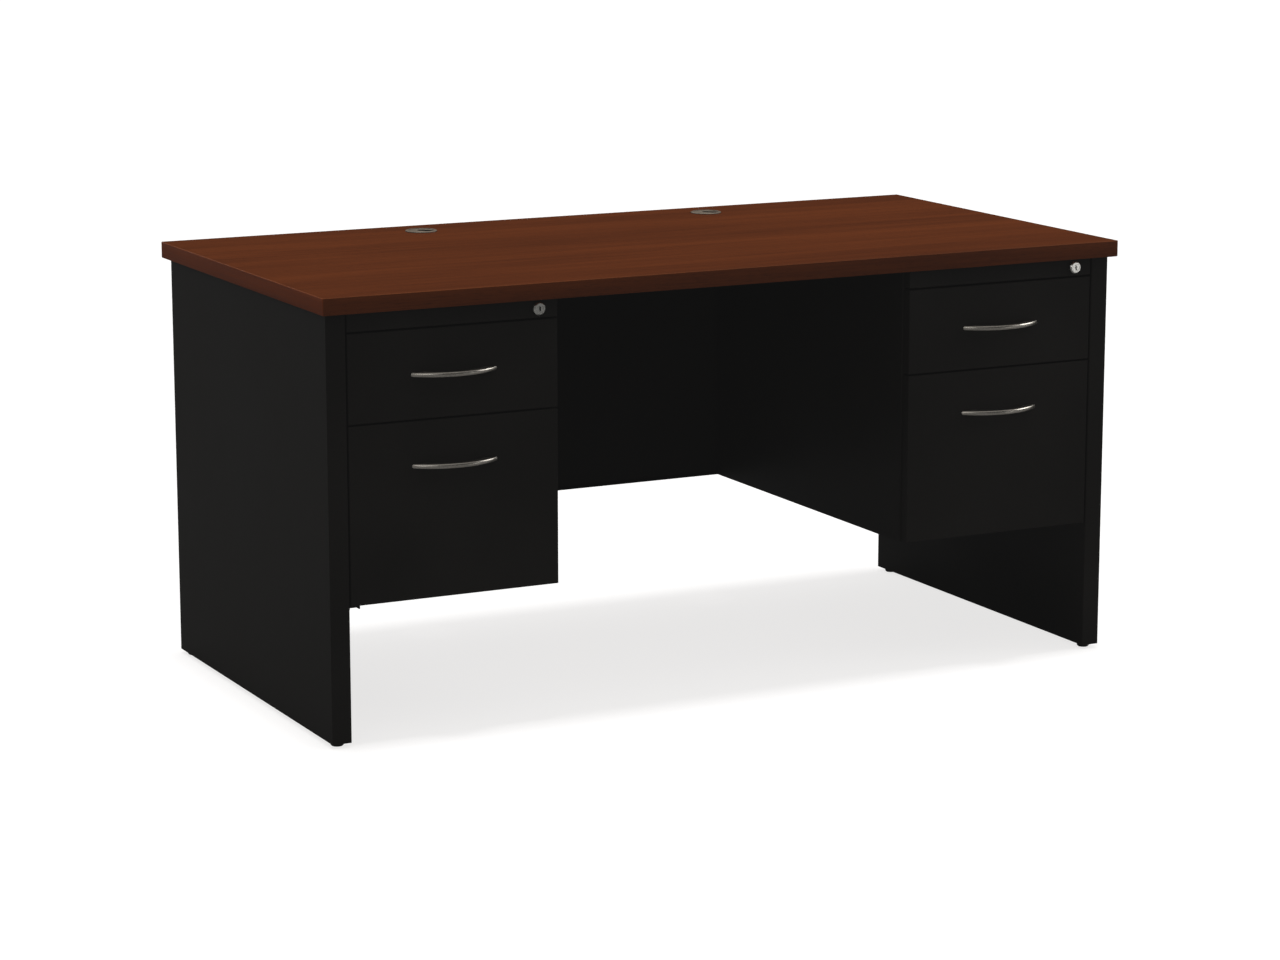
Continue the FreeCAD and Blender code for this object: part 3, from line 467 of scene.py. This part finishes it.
def sharpen(obj, degrees):
    """Marks the edges that turn by more than an angle as sharp."""
    work = bmesh.new()
    work.from_mesh(obj.data)
    for edge in work.edges:
        if len(edge.link_faces) == 2:
            edge.smooth = edge.calc_face_angle() < math.radians(degrees)
    work.to_mesh(obj.data)
    work.free()


def soften(obj, width):
    """Rounds the sheared edges of a sheet-metal piece a little."""
    weld = obj.modifiers.new("weld", "WELD")
    weld.merge_threshold = 0.01 * MM
    bevel = obj.modifiers.new("bevel", "BEVEL")
    bevel.width = width
    bevel.segments = 2
    bevel.limit_method = "ANGLE"
    bevel.angle_limit = math.radians(40)
    bevel.harden_normals = False


# ---------------------------------------------------------------- stage, camera and light

CAMERA_PLACE = Vector((-2.8658, -5.6087, 1.5997))
CAMERA_YAW = 27.061
CAMERA_DOWN = 11.526
CAMERA_LENS = 100.23
SENSOR = 36.0


def make_camera():
    """The camera of the reference view."""
    data = bpy.data.cameras.new("camera")
    data.lens = CAMERA_LENS
    data.sensor_width = SENSOR
    camera = bpy.data.objects.new("camera", data)
    camera.location = CAMERA_PLACE
    camera.rotation_euler = (math.radians(90 - CAMERA_DOWN), 0.0, math.radians(-CAMERA_YAW))
    bpy.context.scene.collection.objects.link(camera)
    bpy.context.scene.camera = camera


FLOOR_HALF = 60.0
FLOOR_WHITE = (0.27, 0.27, 0.27)
FLOOR_LIFT = 0.765           # light added where the camera looks at the floor
FLOOR_IN_GLOSS = 0.45        # how much of the floor's light its reflections keep


def make_floor():
    """A plain pale floor. What the camera sees of it is lifted, and what lights the desk is not."""
    corners = [(x * FLOOR_HALF, y * FLOOR_HALF, 0) for x, y in ((-1, -1), (1, -1), (1, 1), (-1, 1))]
    floor = new_piece("floor", corners, [(0, 1, 2, 3)])
    material = bpy.data.materials.new("floor")
    material.use_nodes = True
    nodes, links = material.node_tree.nodes, material.node_tree.links
    nodes.clear()
    ray = nodes.new("ShaderNodeLightPath")
    paint = nodes.new("ShaderNodeBsdfDiffuse")
    shade = nodes.new("ShaderNodeMix")
    shade.data_type = "RGBA"
    plain, dimmed = of_type(shade.inputs, "RGBA")
    plain.default_value = (*FLOOR_WHITE, 1)
    dimmed.default_value = (*(FLOOR_IN_GLOSS * c for c in FLOOR_WHITE), 1)
    lift = nodes.new("ShaderNodeEmission")
    lift.inputs["Color"].default_value = (1.0, 0.99, 0.985, 1)
    strength = nodes.new("ShaderNodeMath")
    strength.operation = "MULTIPLY"
    strength.inputs[1].default_value = FLOOR_LIFT
    total = nodes.new("ShaderNodeAddShader")
    out = nodes.new("ShaderNodeOutputMaterial")
    links.new(ray.outputs["Is Glossy Ray"], shade.inputs["Factor"])
    links.new(of_type(shade.outputs, "RGBA")[0], paint.inputs["Color"])
    links.new(ray.outputs["Is Camera Ray"], strength.inputs[0])
    links.new(strength.outputs[0], lift.inputs["Strength"])
    links.new(paint.outputs[0], total.inputs[0])
    links.new(lift.outputs[0], total.inputs[1])
    links.new(total.outputs[0], out.inputs["Surface"])
    floor.data.materials.append(material)


SKY_HEIGHTS = (0.25, 0.95)   # upward part of a direction at which the sky starts and ends to brighten
SKY_STRENGTHS = (0.03, 0.75)
SKY_IN_GLOSS = 0.5           # how much of the sky's light its reflections keep


def make_world():
    """White to the camera. For the desk: bright overhead, dim at the horizon, and dimmer in reflections."""
    world = bpy.data.worlds.new("studio")
    bpy.context.scene.world = world
    world.use_nodes = True
    nodes, links = world.node_tree.nodes, world.node_tree.links
    nodes.clear()
    path = nodes.new("ShaderNodeLightPath")
    place = nodes.new("ShaderNodeTexCoord")
    axes = nodes.new("ShaderNodeSeparateXYZ")
    links.new(place.outputs["Generated"], axes.inputs[0])
    rise = nodes.new("ShaderNodeMapRange")
    rise.interpolation_type = "SMOOTHSTEP"
    rise.inputs["From Min"].default_value, rise.inputs["From Max"].default_value = SKY_HEIGHTS
    rise.inputs["To Min"].default_value, rise.inputs["To Max"].default_value = SKY_STRENGTHS
    links.new(axes.outputs["Z"], rise.inputs["Value"])
    light = nodes.new("ShaderNodeBackground")
    light.inputs["Color"].default_value = (1.0, 0.985, 0.96, 1)
    gloss = nodes.new("ShaderNodeMapRange")
    gloss.inputs["To Min"].default_value = 1.0
    gloss.inputs["To Max"].default_value = SKY_IN_GLOSS
    links.new(path.outputs["Is Glossy Ray"], gloss.inputs["Value"])
    strength = nodes.new("ShaderNodeMath")
    strength.operation = "MULTIPLY"
    links.new(rise.outputs["Result"], strength.inputs[0])
    links.new(gloss.outputs["Result"], strength.inputs[1])
    links.new(strength.outputs[0], light.inputs["Strength"])
    white = nodes.new("ShaderNodeBackground")
    white.inputs["Color"].default_value = (1, 1, 1, 1)
    mix = nodes.new("ShaderNodeMixShader")
    out = nodes.new("ShaderNodeOutputWorld")
    links.new(path.outputs["Is Camera Ray"], mix.inputs["Fac"])
    links.new(light.outputs[0], mix.inputs[1])
    links.new(white.outputs[0], mix.inputs[2])
    links.new(mix.outputs[0], out.inputs["Surface"])


def add_light(name, kind, place, aim, power, **settings):
    """A light that the camera doesn't see, turned from its place to where it aims."""
    data = bpy.data.lights.new(name, kind)
    data.energy = power
    for key, value in settings.items():
        setattr(data, key, value)
    light = bpy.data.objects.new(name, data)
    light.location = place
    light.rotation_euler = (Vector(aim) - Vector(place)).to_track_quat("-Z", "Y").to_euler()
    light.visible_camera = False
    bpy.context.scene.collection.objects.link(light)
    return light


# Each softbox: its place, what it points at, its power in watts and its width and height.
SOFTBOXES = {
    "left_fill": ((-4.6, 0.6, 1.7), (0, 0.3, 0.5), 9, (2.4, 1.6)),
    "left_box": ((-3.9, -5.0, 2.3), (0, -0.3, 0.5), 24, (3.2, 1.4)),
    "right_box": ((4.3, -0.7, 1.9), (0.3, -0.3, 0.5), 60, (3.4, 1.4)),
    "low_card": ((3.45, -4.35, 0.15), (0.68, -0.38, 0.70), 3.6, (1.1, 0.5)),
    "back_box": ((-2.5, 4.2, 2.0), (0, 0.3, 0.5), 25, (1.6, 1.2)),
}


def make_lights():
    """A high soft key that drops the desk's shadow under it, and softboxes round the desk."""
    key = add_light("key", "SUN", (0, 0, 5), (0, 0, 0), 2.2, angle=math.radians(8))
    key.visible_glossy = False
    for name, (place, aim, power, (width, height)) in SOFTBOXES.items():
        light = add_light(name, "AREA", place, aim, power, shape="RECTANGLE", size=width, size_y=height)
        light.visible_glossy = name != "left_fill"      # it only lifts the left end
        light.visible_diffuse = name != "low_card"      # it only shows in the right lock


BLACK_LIFT = 0.0048          # the least light in a picture, as haze in a lens leaves it


def set_look():
    """Plain colours, with the blacks lifted."""
    scene = bpy.context.scene
    scene.view_settings.view_transform = "Standard"
    scene.view_settings.look = "None"
    scene.view_settings.exposure = 0.0
    scene.view_settings.gamma = 1.0
    scene.view_settings.use_curve_mapping = True
    scene.view_settings.curve_mapping.black_level = (-BLACK_LIFT, -BLACK_LIFT, -BLACK_LIFT)
    scene.view_settings.curve_mapping.update()


# ---------------------------------------------------------------- the desk

# How far the edges of some sheet-metal pieces are rounded, in mm.
SOFT_EDGES = {
    "slide_cabinet_members": 0.3, "slide_mid_members": 0.3, "slide_drawer_members": 0.3,
    "slide_standards": 0.4, "lock_bar": 0.3, "pedestal_ledges": 0.4, "pedestal_floor": 0.4,
}


def main():
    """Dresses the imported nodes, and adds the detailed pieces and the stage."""
    materials = make_materials()
    for name, node in NODES.items():
        dress(node, materials[slot_of(name)])
        for key, width in SOFT_EDGES.items():
            if key in name:
                soften(node, width * MM)
    for drawer in DRAWERS:
        make_handle(drawer, materials["satin_nickel"])
    make_edge_band(materials["edge_vinyl"])
    make_floor()
    make_world()
    make_lights()
    make_camera()
    set_look()
    bpy.context.view_layer.update()


main()
